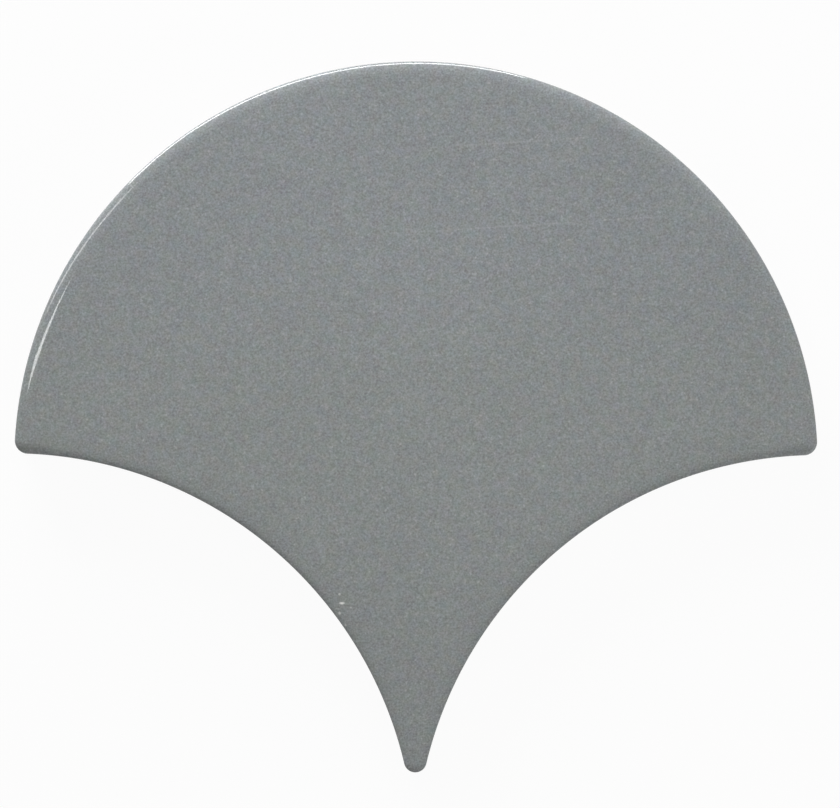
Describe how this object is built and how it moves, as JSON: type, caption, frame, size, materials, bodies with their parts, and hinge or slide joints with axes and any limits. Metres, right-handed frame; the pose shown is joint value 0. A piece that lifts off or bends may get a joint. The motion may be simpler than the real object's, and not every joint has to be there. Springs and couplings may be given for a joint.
{
  "type": "fish scale tile",
  "caption": "Fan shaped wall tile with a round head, hollow flanks that nest on the next tiles' heads, a narrow tip, a cushioned glazed face and a keyed back.",
  "frame": {"origin": "centre of the tile's width and length, on the level of the back, at the middle rib of the key", "axes": "+X across the tile, +Y from the tip to the round head, +Z out of the glazed face"},
  "size_m": [0.12, 0.1062, 0.009],
  "materials": {
    "glazed_body": "smooth grey-blue glaze with a fine mottle, bare biscuit on the back"
  },
  "bodies": {
    "root": {"fish_scale_tile": "glazed_body"}
  },
  "joints": []
}
